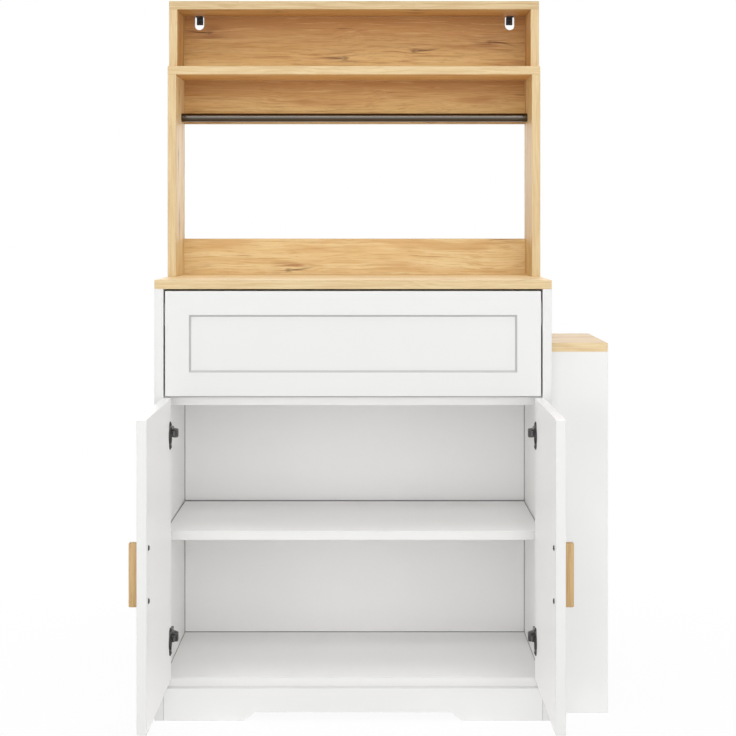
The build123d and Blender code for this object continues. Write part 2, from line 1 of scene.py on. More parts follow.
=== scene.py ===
import bmesh
import bpy
import math
import numpy as np
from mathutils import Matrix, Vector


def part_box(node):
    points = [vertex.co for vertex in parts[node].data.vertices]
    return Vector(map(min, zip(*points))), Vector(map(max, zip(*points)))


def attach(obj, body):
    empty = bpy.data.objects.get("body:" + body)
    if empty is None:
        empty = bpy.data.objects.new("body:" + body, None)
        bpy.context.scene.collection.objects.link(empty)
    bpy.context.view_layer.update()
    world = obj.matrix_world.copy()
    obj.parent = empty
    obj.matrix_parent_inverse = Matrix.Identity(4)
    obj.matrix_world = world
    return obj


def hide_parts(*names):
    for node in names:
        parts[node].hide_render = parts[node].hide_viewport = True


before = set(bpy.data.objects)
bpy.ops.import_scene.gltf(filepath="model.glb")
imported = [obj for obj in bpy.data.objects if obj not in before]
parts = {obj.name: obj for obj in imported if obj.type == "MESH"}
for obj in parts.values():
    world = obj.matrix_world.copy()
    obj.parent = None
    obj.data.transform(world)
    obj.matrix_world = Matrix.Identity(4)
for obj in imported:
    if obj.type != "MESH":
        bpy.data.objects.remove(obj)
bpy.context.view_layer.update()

# Carcass: sides, bottom, divider, toe-kick, shelf and leaf carriers, cut from particle board with a
# satin white laminate on faces and edges. Dowels and cam fittings hold the boards together.
# The front edges and the toe-kick are painted a little greyer than the faces inside, as painted shade.


def linear(red, green, blue):
    """Colour as on a paint card, 0 to 255, in the linear values that shaders take."""
    share = np.array([red, green, blue]) / 255
    return (*np.where(share <= 0.04045, share / 12.92, ((share + 0.055) / 1.055) ** 2.4), 1.0)


def add(tree, kind, sockets, **settings):
    """Shader node with its settings. Each socket takes a value or another node's output."""
    node = tree.nodes.new("ShaderNode" + kind)
    for name, value in settings.items():
        setattr(node, name, value)
    for key, value in sockets.items():
        if isinstance(value, bpy.types.NodeSocket):
            tree.links.new(value, node.inputs[key])
        else:
            node.inputs[key].default_value = value
    return node


def calc(tree, operation, *values):
    """Output of a Math node."""
    return add(tree, "Math", dict(enumerate(values)), operation=operation).outputs[0]


def times(tree, first, *others):
    """Output of values multiplied together."""
    for other in others:
        first = calc(tree, "MULTIPLY", first, other)
    return first


def joined(tree, operation, first, second):
    """Output of a Vector Math node with two inputs."""
    return add(tree, "VectorMath", {0: first, 1: second}, operation=operation).outputs[0]


def split(tree, vector):
    """Outputs of a vector's x, y and z."""
    return add(tree, "SeparateXYZ", {0: vector}).outputs


def mixed(tree, share, first, second):
    """Output that goes from the first colour to the second as share goes from 0 to 1."""
    return add(tree, "Mix", {0: share, 6: first, 7: second}, data_type="RGBA").outputs[2]


def faded(tree, value, low, high):
    """Output that rises smoothly from 0 at low to 1 at high."""
    return add(tree, "MapRange", {0: value, 1: low, 2: high}, interpolation_type="SMOOTHSTEP").outputs[0]


def between(tree, value, low, high):
    """Output that carries a value of 0 to 1 to the range from low to high."""
    return add(tree, "MapRange", {0: value, 3: low, 4: high}).outputs[0]


def noise(tree, point, size, detail=2.0, roughness=0.5):
    """Noise whose spots have the given size in metres, one for all axes or one for each."""
    scaled = joined(tree, "MULTIPLY", point, [1 / length for length in np.broadcast_to(size, 3)])
    sockets = {"Vector": scaled, "Scale": 1.0, "Detail": detail, "Roughness": roughness}
    return add(tree, "TexNoise", sockets).outputs[0]


def new_material(name):
    """Material with its node tree, its shader and the place of each point on the object."""
    material = bpy.data.materials.new(name)
    material.use_nodes = True
    tree = material.node_tree
    place = add(tree, "TexCoord", {}).outputs["Object"]
    return material, tree, tree.nodes["Principled BSDF"], place


def finish(tree, shader, colour, roughness, height, depth):
    """Wires a colour, a roughness and a relief of the given depth in metres to the shader."""
    bump = add(tree, "Bump", {"Height": height, "Distance": depth, "Strength": 1.0})
    tree.links.new(colour, shader.inputs["Base Color"])
    tree.links.new(roughness, shader.inputs["Roughness"])
    tree.links.new(bump.outputs[0], shader.inputs["Normal"])


def dress(material, *names):
    """Gives CAD nodes a material."""
    for name in names:
        for slot in parts[name].material_slots:
            slot.material = material


edge_skin = 0.0009
cloud_size, pebble_size, smear_size = 0.30, 0.0016, 0.05
press_depth, laminate_gloss = 0.00006, 0.4
board_sheen, front_sheen = (0.36, 0.50), (0.30, 0.42)


def inset_of(tree, place, node):
    """Output that is the distance in from the nearest of a board's four narrow sides."""
    low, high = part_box(node)
    centre = [(a + b) / 2 for a, b in zip(low, high)]
    half = [(b - a) / 2 for a, b in zip(low, high)]
    centred = joined(tree, "SUBTRACT", place, centre)
    aside = add(tree, "VectorMath", {0: centred}, operation="ABSOLUTE").outputs[0]
    depths = split(tree, joined(tree, "SUBTRACT", half, aside))
    thin = half.index(min(half))
    return calc(tree, "MINIMUM", *[depths[axis] for axis in range(3) if axis != thin])


def edge_of(node):
    """Mask within the edge skin of a board's narrow sides, and not on its two faces."""
    return lambda tree, place: calc(tree, "LESS_THAN", inset_of(tree, place, node), edge_skin)


def painted_strip_of(node, joints, width):
    """Mask within a width of the given sides of a board, mostly where it butts against others; it carries
    painted shade there, or painted light on a door's top edge. A side is an axis and -1 for its low or 1
    for its high end."""
    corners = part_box(node)

    def mask(tree, place):
        axes = split(tree, place)
        shares = [calc(tree, "COMPARE", axes[axis], corners[end > 0][axis], width) for axis, end in joints]
        while len(shares) > 1:
            shares.append(calc(tree, "MAXIMUM", shares.pop(), shares.pop()))
        return shares[0]

    return mask


def painted_gap_shadow_of(node, width):
    """Mask along the top of a board's front edge, just under the drawer front, where a line of painted
    shadow stands for the gap.
    """
    low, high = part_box(node)

    def mask(tree, place):
        axes = split(tree, place)
        return times(tree, calc(tree, "COMPARE", axes[2], high.z, width),
                     calc(tree, "COMPARE", axes[1], low.y, edge_skin))

    return mask


def laminate(name, pale, deep, sheen, masks=()):
    """Plain laminate: faint clouds in the colour, smears in the sheen and the fine pebbled press of the
    sheet. Each mask, a function of the tree and the place, lets through a tone of its own."""
    material, tree, shader, place = new_material(name)
    clouds = noise(tree, place, cloud_size, 4.0)
    pebbles = noise(tree, place, pebble_size)
    smears = noise(tree, place, smear_size, 3.0)
    colour = mixed(tree, clouds, deep, pale)
    for mask, tone in masks:
        colour = mixed(tree, mask(tree, place), colour, tone)
    finish(tree, shader, colour, between(tree, smears, *sheen), pebbles, press_depth)
    shader.inputs["Specular IOR Level"].default_value = laminate_gloss
    return material


# Painted light and shade: front edges and the toe-kick are painted greyer than the near-white inner faces,
# and thin lines of painted shade darken the joints.
white_pale, white_deep, painted_shade_band = linear(253, 252, 251), linear(251, 250, 249), linear(217, 217, 216)
board_painted_shade_band, painted_joint_shade = linear(229, 228, 227), linear(150, 148, 146)
kick_painted_shade_pale, kick_painted_shade_deep = linear(226, 226, 225), linear(224, 224, 223)
joint_shade_width, gap_shadow_width, kick_joint_shade_width = 0.0016, 0.0020, 0.0007
low_x, high_x, high_y = (0, -1), (0, 1), (1, 1)
# Lines of painted shade darken the shelf's and bottom's ends and rear edges where they meet the sides and
# back.
carcass_masks = {node: [(edge_of(node), painted_shade_band)] for node in ("base_side_left", "base_side_right")}
for node in ("base_bottom", "base_shelf"):
    joint = painted_strip_of(node, (low_x, high_x, high_y), joint_shade_width)
    carcass_masks[node] = [(edge_of(node), board_painted_shade_band), (joint, painted_joint_shade)]
carcass_masks["base_divider"] = [(edge_of("base_divider"), board_painted_shade_band),
                                 (painted_gap_shadow_of("base_divider", gap_shadow_width), painted_joint_shade)]
for node, masks in carcass_masks.items():
    dress(laminate(node + "_white", white_pale, white_deep, board_sheen, masks), node)
kick_masks = [(painted_strip_of("toe_kick", (low_x, high_x), kick_joint_shade_width), painted_joint_shade)]
dress(laminate("white_front_laminate", kick_painted_shade_pale, kick_painted_shade_deep, front_sheen, kick_masks), "toe_kick")
white_board = laminate("white_laminate", linear(246, 245, 244), linear(244, 243, 242), board_sheen)
dress(white_board, "leaf_carriers")

# Back panel: thin hardboard, painted white on the inner face and screwed to the rear of the carcass.
# A thin line of painted shade darkens the sheet along the sides, the shelf and the bottom, where it meets
# the laminate.
# The drawer's floor is cut from the same sheet.
seam_shade_width, paint_skin = 0.0016, 0.001
paint_cloud_size, fibre_size, fibre_depth = 0.22, 0.004, 0.00008
paint_sheen = (0.5, 0.62)
back_low, back_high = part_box("base_back")
side_low, side_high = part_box("base_side_left")
cabinet_middle = (back_low.x + back_high.x) / 2
carcass_half = cabinet_middle - side_high.x

material, tree, shader, place = new_material("white_hardboard")
axes = split(tree, place)
from_middle = calc(tree, "ABSOLUTE", calc(tree, "SUBTRACT", axes[0], cabinet_middle))
seam_shade = calc(tree, "COMPARE", from_middle, carcass_half, seam_shade_width)
for board in ("base_shelf", "base_bottom"):
    above = calc(tree, "COMPARE", axes[2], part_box(board)[1].z, seam_shade_width)
    seam_shade = calc(tree, "MAXIMUM", seam_shade, above)
seam_shade = times(tree, seam_shade, calc(tree, "COMPARE", axes[1], back_low.y, paint_skin))
paint = mixed(tree, noise(tree, place, paint_cloud_size, 4.0), white_deep, white_pale)
fibres = noise(tree, place, fibre_size, 3.0)
paint = mixed(tree, seam_shade, paint, painted_joint_shade)
finish(tree, shader, paint, between(tree, fibres, *paint_sheen), fibres, fibre_depth)
dress(material, "base_back", "drawer_bottom")

# Steel fittings: bright zinc on slides, cams, pins and hidden screws, dark nickel on the hinges and
# nearly black nickel on the hinge cups and door screws.
# All are pressed or turned steel with a fine brushed grain left by the tools.
brush_size, stain_size, brush_depth = (0.0004, 0.012, 0.0004), 0.02, 0.00002


def plated(name, pale, deep, sheen):
    """Plated steel: brushed streaks along Y in its gloss and faint stains in its colour."""
    material, tree, shader, place = new_material(name)
    streaks = noise(tree, place, brush_size, 3.0)
    stains = noise(tree, place, stain_size, 3.0)
    colour = mixed(tree, stains, deep, pale)
    finish(tree, shader, colour, between(tree, streaks, *sheen), streaks, brush_depth)
    shader.inputs["Metallic"].default_value = 1.0
    return material


zinc_sheen, nickel_sheen = (0.26, 0.42), (0.26, 0.40)
zinc = plated("zinc_steel", linear(214, 214, 212), linear(188, 189, 190), zinc_sheen)
nickel = plated("dark_nickel", linear(112, 111, 110), linear(80, 79, 79), nickel_sheen)
black_nickel = plated("black_nickel", linear(74, 73, 72), linear(50, 49, 49), nickel_sheen)
dress(zinc, "shelf_pins", "cam_fittings", "back_panel_screws", "slide_outers", "slide_middles",
      "slide_inners", "slide_screws", "drawer_screws", "wall_bracket_screws", "roller_forks")
dress(nickel, "left_hinge_links", "right_hinge_links")

# Wooden dowels: beech pegs, cut from turned rod and left raw.
# They are glued into the ends and faces of the boards, out of sight.
fleck_size, fleck_depth, raw_sheen = (0.002, 0.002, 0.012), 0.0001, (0.6, 0.75)
material, tree, shader, place = new_material("raw_beech")
flecks = noise(tree, place, fleck_size, 3.0)
beech = mixed(tree, flecks, linear(198, 160, 116), linear(222, 190, 146))
finish(tree, shader, beech, between(tree, flecks, *raw_sheen), flecks, fleck_depth)
dress(material, "wood_dowels")

# Worktop and hutch boards: particle board in an oak-look laminate, grain along each board's length,
# with paler banding on the edges. Cracks, streaks and small knots are printed in the laminate.
# Dowels and cam fittings join the boards, and the hutch stands on the worktop.
sway_size, sway_reach = (0.30, 0.10, 0.10), 0.030
growth_size, streak_size, fine_size = (0.45, 0.022, 0.022), (0.120, 0.0036, 0.0036), (0.040, 0.0015, 0.0015)
patch_size, mineral_size = (0.24, 0.032, 0.032), (0.11, 0.008, 0.008)
spell_size, split_size = (0.16, 0.045, 1.0), (0.110, 0.0036, 1.0)
growth_fade, band_fade, top_shade_rise = (0.34, 0.66), (0.3, 0.7), 0.2
spell_fade, split_fade, feather_fade = (0.54, 0.66), (0.64, 0.72), (0.40, 0.62)
knot_cells, knot_rarity, knot_bend, knot_rag = (6.5, 13.0, 0.0), 0.70, 1.1, 0.10
core_fade, halo_fade, core_weight = (0.075, 0.010), (0.36, 0.03), 0.75
tail_fade, tail_start, tail_end = (0.032, 0.008), (0.00, 0.07), (0.48, 0.10)
tail_side, tail_weight = 0.45, 0.9
top_shade_tone, mineral_tone = linear(168, 112, 58), linear(164, 104, 58)
feather_tone, mark_tone = linear(138, 84, 44), linear(92, 52, 26)
top_shade_weight, feather_weight, split_weight, knot_weight = 0.95, 0.62, 0.80, 0.82
oak_sheen, oak_gloss, pore_share, pore_depth = (0.42, 0.58), 0.35, 0.5, 0.00012


def tinted(tree, colour, mask, weight, tone):
    """Output that goes from a colour to a tone as far as a mask, times its weight, lets it."""
    return mixed(tree, times(tree, mask, weight), colour, tone)


def knots_on(tree, flat, fine):
    """Knots on a board's face, as the output of their dark marks and the output of their halos.

    The middles of sparse cells are the knots. Each has a ragged core and a crack that leaves it along
    the fibre, to either side, and bends with the square of the way.
    """
    cells = joined(tree, "MULTIPLY", flat, knot_cells)
    cell = add(tree, "TexVoronoi", {"Vector": cells, "Scale": 1.0}, voronoi_dimensions="2D")
    lots = add(tree, "SeparateColor", {0: cell.outputs["Color"]}).outputs
    knotty = calc(tree, "GREATER_THAN", lots[0], knot_rarity)
    onwards = calc(tree, "SIGN", calc(tree, "SUBTRACT", lots[1], tail_side))
    curve = between(tree, lots[2], -knot_bend, knot_bend)
    away = split(tree, joined(tree, "SUBTRACT", cells, cell.outputs["Position"]))
    ragged = calc(tree, "ADD", cell.outputs["Distance"], between(tree, fine, -knot_rag, knot_rag))
    core = times(tree, faded(tree, ragged, *core_fade), core_weight)
    halo = faded(tree, ragged, *halo_fade)
    ahead = times(tree, away[0], onwards)
    off_bend = calc(tree, "SUBTRACT", away[1], times(tree, ahead, ahead, curve))
    reach = times(tree, faded(tree, ahead, *tail_end), faded(tree, ahead, *tail_start))
    tail = times(tree, faded(tree, calc(tree, "ABSOLUTE", off_bend), *tail_fade), reach, tail_weight)
    marks = times(tree, calc(tree, "MAXIMUM", core, tail), knotty)
    return marks, times(tree, halo, knotty)


def oak(name, node, grain, drift, tones, band_tones, top_shade_depth):
    """Oak-look laminate for one board.

    The fibre runs along the axis numbered grain, and drift slides the pattern so that boards differ.
    Broad bands, fine streaks and late wood make the figure. The peaks of a drawn-out noise are the
    cracks, and knots sit among them in feathered halos. Where a shade depth is given, painted shade runs
    along the board's top edge, under what stands above it, and fades out with a wavy edge that far below
    it. Points within the edge skin of the board's narrow sides take the band's paler tones.
    """
    material, tree, shader, place = new_material(name)
    axes = split(tree, joined(tree, "ADD", place, drift))
    order = [axes[(grain + step) % 3] for step in range(3)]
    straight = add(tree, "CombineXYZ", dict(enumerate(order))).outputs[0]
    swayed = times(tree, calc(tree, "SUBTRACT", noise(tree, straight, sway_size), 0.5), sway_reach)
    aside = add(tree, "CombineXYZ", {0: 0.0, 1: swayed, 2: swayed}).outputs[0]
    bent = joined(tree, "ADD", straight, aside)

    deep, middle, pale, red = tones
    growth = noise(tree, bent, growth_size, 3.0, 0.6)
    streaks = noise(tree, bent, streak_size, 3.0, 0.6)
    fine = noise(tree, bent, fine_size, 3.0, 0.6)
    patches = noise(tree, bent, patch_size, 3.0, 0.6)
    minerals = noise(tree, bent, mineral_size, 3.0)
    figure = mixed(tree, faded(tree, growth, *growth_fade), middle, pale)
    low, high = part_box(node)
    if top_shade_depth:
        waves = times(tree, calc(tree, "SUBTRACT", growth, 0.5), top_shade_depth)
        wavy = calc(tree, "ADD", split(tree, place)[2], waves)
        top_shade = faded(tree, wavy, high.z - top_shade_depth, high.z + top_shade_rise * top_shade_depth)
        figure = tinted(tree, figure, top_shade, top_shade_weight, top_shade_tone)
    layers = (  # Each has its pattern, the range over which it sets in, its weight and its tone.
        (patches, (0.50, 0.68), 0.75, red),
        (streaks, (0.50, 0.68), 0.50, deep),
        (streaks, (0.46, 0.30), 0.32, pale),
        (fine, (0.52, 0.68), 0.46, deep),
        (minerals, (0.64, 0.74), 0.55, mineral_tone),
    )
    for pattern, fade, weight, tone in layers:
        figure = tinted(tree, figure, faded(tree, pattern, *fade), weight, tone)

    sizes = [b - a for a, b in zip(low, high)]
    across = 3 - grain - sizes.index(min(sizes))
    flat = add(tree, "CombineXYZ", {0: axes[grain], 1: axes[across], 2: 0.0}).outputs[0]
    spells = faded(tree, noise(tree, flat, spell_size, 1.0), *spell_fade)
    splits = faded(tree, noise(tree, flat, split_size), *split_fade)
    knots, halos = knots_on(tree, flat, fine)
    feathers = times(tree, halos, faded(tree, streaks, *feather_fade))
    figure = tinted(tree, figure, feathers, feather_weight, feather_tone)
    cracks = times(tree, splits, spells, split_weight)
    marks = calc(tree, "MAXIMUM", cracks, times(tree, knots, knot_weight))
    face = mixed(tree, marks, figure, mark_tone)

    band = mixed(tree, faded(tree, streaks, *band_fade), *band_tones)
    relief = calc(tree, "SUBTRACT", times(tree, fine, pore_share), marks)
    colour = mixed(tree, edge_of(node)(tree, place), face, band)
    finish(tree, shader, colour, between(tree, streaks, *oak_sheen), relief, pore_depth)
    shader.inputs["Specular IOR Level"].default_value = oak_gloss
    dress(material, node)


along_x, along_z = 0, 2
drift_step = np.array([1.37, 0.61, 0.83])
# Painted light and shade in the board tones: the hutch's inner, under and back boards, its right side and
# the leaf are painted darker, and the worktop and the left side lighter.
open_tones = (linear(193, 150, 91), linear(217, 187, 134), linear(229, 208, 161), linear(205, 166, 113))
left_painted_light_tones = (linear(209, 165, 105), linear(234, 205, 153), linear(247, 228, 183), linear(221, 184, 130))
right_painted_shade_tones = (linear(193, 147, 85), linear(217, 183, 126), linear(229, 204, 151), linear(205, 162, 105))
worktop_painted_light_tones = (linear(222, 176, 112), linear(242, 209, 152), linear(250, 227, 178), linear(232, 189, 132))
inner_painted_shade_tones = (linear(167, 118, 61), linear(206, 164, 101), linear(225, 192, 131), linear(181, 129, 76))
back_painted_shade_tones = (linear(172, 124, 66), linear(213, 174, 109), linear(232, 202, 140), linear(187, 137, 83))
under_painted_shade_tones = (linear(198, 138, 72), linear(221, 170, 104), linear(231, 188, 126), linear(208, 151, 89))
leaf_painted_shade_tones = (linear(184, 141, 85), linear(208, 176, 126), linear(220, 196, 152), linear(198, 156, 106))
band_tones = (linear(199, 171, 126), linear(213, 191, 149))
own_band_tones = {
    "hutch_top": (linear(184, 156, 112), linear(205, 183, 142)),
    "table_leaf": (linear(207, 179, 135), linear(221, 199, 159)),
}
# Painted shade under the hutch top: the upper back and the valance are painted darker towards their top
# edges.
top_shade_depths = {"hutch_upper_back": 0.12, "hutch_valance": 0.07}
oak_boards = {
    "countertop": (along_x, worktop_painted_light_tones),
    "hutch_side_left": (along_z, left_painted_light_tones),
    "hutch_side_right": (along_z, right_painted_shade_tones),
    "hutch_mid_shelf": (along_x, under_painted_shade_tones),
    "hutch_upper_side_left": (along_z, inner_painted_shade_tones),
    "hutch_upper_side_right": (along_z, inner_painted_shade_tones),
    "hutch_top": (along_x, inner_painted_shade_tones),
    "hutch_upper_back": (along_x, back_painted_shade_tones),
    "hutch_valance": (along_x, inner_painted_shade_tones),
    "hutch_splashback": (along_x, open_tones),
    "table_leaf": (along_x, leaf_painted_shade_tones),
}
for number, (node, (grain, tones)) in enumerate(oak_boards.items()):
    oak(node + "_oak", node, grain, drift_step * number, tones, own_band_tones.get(node, band_tones),
        top_shade_depths.get(node, 0.0))

# Hook rail: a round steel tube, powder-coated black, to hang hooks on under the mid shelf.
# Its ends are let into blind holes in the two hutch sides.


def mesh_piece(name, sheets, material, body):
    """Piece made of sheets of points, each an array of rows, columns and x, y, z in metres.

    Quads join neighbouring points, and points that meet are merged, which closes seams and poles.
    """
    merge_distance, sharp_angle = 1e-6, math.radians(38)
    points, quads, start = [], [], 0
    for sheet in sheets:
        rows, columns = sheet.shape[:2]
        index = start + np.arange(rows * columns).reshape(rows, columns)
        corners = [index[:-1, :-1], index[1:, :-1], index[1:, 1:], index[:-1, 1:]]
        quads.append(np.stack(corners, -1).reshape(-1, 4))
        points.append(sheet.reshape(-1, 3))
        start += rows * columns
    mesh = bpy.data.meshes.new(name)
    mesh.from_pydata(np.concatenate(points).tolist(), [], np.concatenate(quads).tolist())
    shape = bmesh.new()
    shape.from_mesh(mesh)
    bmesh.ops.remove_doubles(shape, verts=shape.verts, dist=merge_distance)
    bmesh.ops.recalc_face_normals(shape, faces=shape.faces)
    shape.to_mesh(mesh)
    shape.free()
    mesh.shade_smooth()
    mesh.set_sharp_from_angle(angle=sharp_angle)
    mesh.materials.append(material)
    piece = bpy.data.objects.new(name, mesh)
    bpy.context.scene.collection.objects.link(piece)
    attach(piece, body)
    return piece


def lathe(profile, sides):
    """Round surface about Z: rows of radius and height, each turned through a full circle."""
    turn = np.linspace(0, 2 * math.pi, sides + 1)
    radius, height = np.array(profile, float).T[:, :, None]
    return np.stack([radius * np.cos(turn), radius * np.sin(turn), height + 0 * turn], -1)


def carried(sheet, place, outward):
    """Sheet drawn about Z, carried to a place with its Z turned to a direction along one axis."""
    axis = np.array(outward, float)
    beside = np.roll(np.abs(axis), 1)
    frame_axes = np.stack([beside, np.cross(axis, beside), axis])
    return sheet @ frame_axes + np.array(place)


grit_size, grit_depth = 0.0012, 0.00001


def black_coat(name, deep, pale, wear_size, sheen):
    """Sprayed black coat on steel: fine grit in its gloss and faint wear in its colour."""
    material, tree, shader, place = new_material(name)
    grit = noise(tree, place, grit_size)
    wear = noise(tree, place, wear_size, 3.0)
    finish(tree, shader, mixed(tree, wear, deep, pale), between(tree, grit, *sheen), grit, grit_depth)
    return material


rail_sides, rail_edge = 64, 0.0006
rail_deep, rail_pale = linear(81, 76, 71), linear(91, 86, 80)
rail_wear_size, rail_sheen = (0.09, 0.02, 0.02), (0.13, 0.19)
rail_low, rail_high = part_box("hook_rail")
rail_radius = (rail_high.z - rail_low.z) / 2
rail_length = rail_high.x - rail_low.x
rail_coat = black_coat("black_powder_coat", rail_deep, rail_pale, rail_wear_size, rail_sheen)
rail_coat.node_tree.nodes["Principled BSDF"].inputs["Metallic"].default_value = 1.0
rail_profile = [(0, 0), (rail_radius - rail_edge, 0), (rail_radius, rail_edge),
                (rail_radius, rail_length - rail_edge), (rail_radius - rail_edge, rail_length),
                (0, rail_length)]
rail_start = (rail_low.x, (rail_low.y + rail_high.y) / 2, (rail_low.z + rail_high.z) / 2)
rail_sheet = carried(lathe(rail_profile, rail_sides), rail_start, (1, 0, 0))
rail = mesh_piece("hook_rail_tube", [rail_sheet], rail_coat, "cabinet")
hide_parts("hook_rail")

# Wall brackets: black-painted steel angles, screwed under the hutch top and seen through the notches of
# the upper back. A black plastic cap closes each wall screw hole until the cabinet is fixed to a wall.
bracket_width, bracket_thickness, bracket_hole_drop = 0.0146, 0.0020, 0.0110
cap_sides, cap_radius, cap_rise, stem_radius = 48, 0.0026, 0.0008, 0.00175
bracket_low, bracket_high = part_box("wall_brackets")
paint_deep, paint_pale = linear(20, 18, 17), linear(34, 31, 29)
paint_wear_size, bracket_sheen = 0.010, (0.34, 0.46)
black_paint = black_coat("black_bracket_paint", paint_deep, paint_pale, paint_wear_size, bracket_sheen)
dress(black_paint, "wall_brackets")
cap_rows = [(0, cap_rise), (0.5 * cap_radius, 0.9 * cap_rise), (0.85 * cap_radius, 0.5 * cap_rise),
            (cap_radius, 0), (stem_radius, 0), (stem_radius, -bracket_thickness), (0, -bracket_thickness)]
cap_y, cap_z = bracket_high.y - bracket_thickness, bracket_high.z - bracket_hole_drop
caps = [carried(lathe(cap_rows, cap_sides), (x, cap_y, cap_z), (0, -1, 0))
        for x in (bracket_low.x + bracket_width / 2, bracket_high.x - bracket_width / 2)]
mesh_piece("wall_bracket_caps", caps, black_paint, "cabinet")

# Fronts: doors and drawer front of fibreboard under a white foil, routed to leave a frame round a sunk
# panel. The doors hang on concealed hinges, and the drawer front is screwed to its box. Their outer
# faces, edges and routed slopes are painted greyer, as painted shade.
frame_width, slope_width = 0.048, 0.004
front_shade_pale, front_shade_deep, slope_painted_shade = linear(217, 217, 216), linear(215, 215, 214), linear(184, 184, 183)


def outer_of(node, axis, end):
    """Mask on the half of a board towards one end of an axis."""
    low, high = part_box(node)
    half = (low[axis] + high[axis]) / 2
    beyond = "GREATER_THAN" if end > 0 else "LESS_THAN"
    return lambda tree, place: calc(tree, beyond, split(tree, place)[axis], half)


def slope_of(node, axis, end):
    """Mask on the slope between frame and panel, where painted shade darkens the routed recess, on the face
    at one end of an axis:
    it lies between two distances in from the front's narrow sides, on that face's half of the board."""
    outer = outer_of(node, axis, end)

    def mask(tree, place):
        inset = inset_of(tree, place, node)
        slope = calc(tree, "COMPARE", inset, frame_width + slope_width / 2, slope_width / 2)
        return times(tree, slope, outer(tree, place))

    return mask


# Painted light and shade on the fronts: outer faces and edges are painted greyer than the near-white inner
# faces, and the doors' top edges take the inner white as painted light.
painted_light_top_edge = (2, 1)
for node, end in (("left_door", -1), ("right_door", 1)):
    masks = [(edge_of(node), painted_shade_band), (outer_of(node, 0, end), front_shade_pale),
             (slope_of(node, 0, end), slope_painted_shade), (painted_strip_of(node, [painted_light_top_edge], edge_skin), white_pale)]
    dress(laminate(node + "_white", white_pale, white_deep, front_sheen, masks), node)
drawer_slope = slope_of("drawer_front", 1, -1)
dress(laminate("drawer_front_white", front_shade_pale, front_shade_deep, front_sheen, [(drawer_slope, slope_painted_shade)]),
      "drawer_front")

# Bar handles: oak-look blocks with eased edges, sawn from strip and sanded.
# Two screws from inside the door hold each one.
handle_ease = 0.002
ease_steps = np.linspace(0, math.pi / 2, 5)
handle_streak_size, handle_band_size = (0.0022, 0.0022, 0.07), (0.006, 0.006, 0.4)
red_fade, red_weight = (0.45, 0.7), 0.4
handle_sheen, handle_pore_depth = (0.42, 0.55), 0.0001
handle_deep, handle_pale, handle_red = linear(175, 140, 90), linear(198, 166, 116), linear(192, 150, 100)
handle_oak, tree, shader, place = new_material("handle_oak")
streaks = noise(tree, place, handle_streak_size, 4.0, 0.6)
wood = mixed(tree, faded(tree, streaks, *band_fade), handle_deep, handle_pale)
red_bands = faded(tree, noise(tree, place, handle_band_size), *red_fade)
wood = tinted(tree, wood, red_bands, red_weight, handle_red)
finish(tree, shader, wood, between(tree, streaks, *handle_sheen), streaks, handle_pore_depth)


def capped(section):
    """Sheet of closed rows with its two ends filled, each from the end row to that row's middle."""
    ends = [np.stack([row, np.broadcast_to(row.mean(0), row.shape)]) for row in (section[0], section[-1])]
    return [section, *ends]


def handle_bar(low, high, outward):
    """Bar that stands on the door: its section has two eased corners away from the door, carried
    up the bar, and draws in by the same curve at both ends."""
    draw_in = handle_ease * (1 - np.sin(ease_steps))
    rise = handle_ease * (1 - np.cos(ease_steps))
    inset = np.concatenate([[handle_ease], draw_in, draw_in[::-1], [handle_ease]])
    level = np.concatenate([[low.z], low.z + rise, high.z - rise[::-1], [high.z]])
    foot, top = (low.x, high.x) if outward > 0 else (high.x, low.x)
    reach = abs(top - foot)
    half = (high.y - low.y) / 2
    ease_y, ease_x = half - draw_in, reach - rise
    across = np.concatenate([[half], ease_y[::-1], -ease_y, [-half, half]])
    away = np.concatenate([[0], ease_x[::-1], ease_x, [0, 0]])
    x = foot + outward * away[None, :] * (1 - inset / reach)[:, None]
    y = (low.y + high.y) / 2 + across[None, :] * (1 - inset / half)[:, None]
    return capped(np.stack([x, y, np.broadcast_to(level[:, None], x.shape)], -1))


sides = (("left", -1), ("right", 1))
for side, outward in sides:
    sheets = handle_bar(*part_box(side + "_handle"), outward)
    bar = mesh_piece(side + "_handle_bar", sheets, handle_oak, "door_" + side)
    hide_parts(side + "_handle")

# Screws: cross-recessed steel screws, cold-headed and plated, domed on the doors and flush in the
# hinge plates. They hold the handles, the hinge cups and the hinge plates.
metre = 1000.0
crown_power, crown_fall = 2.4, 0.72
slot_half_width, slot_depth, slot_soft_edge = 0.16, 0.62, 1.6
rim_fade, rim_slope = 6, 9
screw_sides, crown_rows, point_length = 64, 13, 2.0


def cross_screw(head_radius, head_height, shank_radius, length, point):
    """Screw about Z with its head on height 0, turned from rows of radius and height in millimetres.

    The crown falls with a power of the radius, and a cross of two slots sinks into it: the depth fades
    out where either distance from a slot's middle line passes its half-width, and towards the rim.
    """
    turn = np.linspace(0, 2 * math.pi, screw_sides + 1)
    crown = np.linspace(0, 1, crown_rows)
    shank = shank_radius / head_radius
    share = np.concatenate([crown, [1.0, shank, shank, point, 0.0]])[:, None]
    falling = head_height * (1 - crown_fall * crown ** crown_power)
    height = np.concatenate([falling, [0, 0, point_length - length, -length, -length]])[:, None]
    x, y = head_radius * share * np.cos(turn), head_radius * share * np.sin(turn)
    slot = np.minimum(np.abs(x), np.abs(y)) / (slot_half_width * head_radius)
    sunk = np.clip(slot_soft_edge - slot, 0, 1) * np.clip(rim_fade - rim_slope * share, 0, 1)
    sunk[len(crown):] = 0
    return np.stack([x, y, height - slot_depth * head_height * sunk], -1) / metre


def at(side, out, y, z):
    """Point in metres from millimetres: out from the cabinet's middle towards one side, back from the
    front plane, and up from the floor."""
    return (cabinet_middle + side * out / metre, side_low.y + y / metre, z / metre)


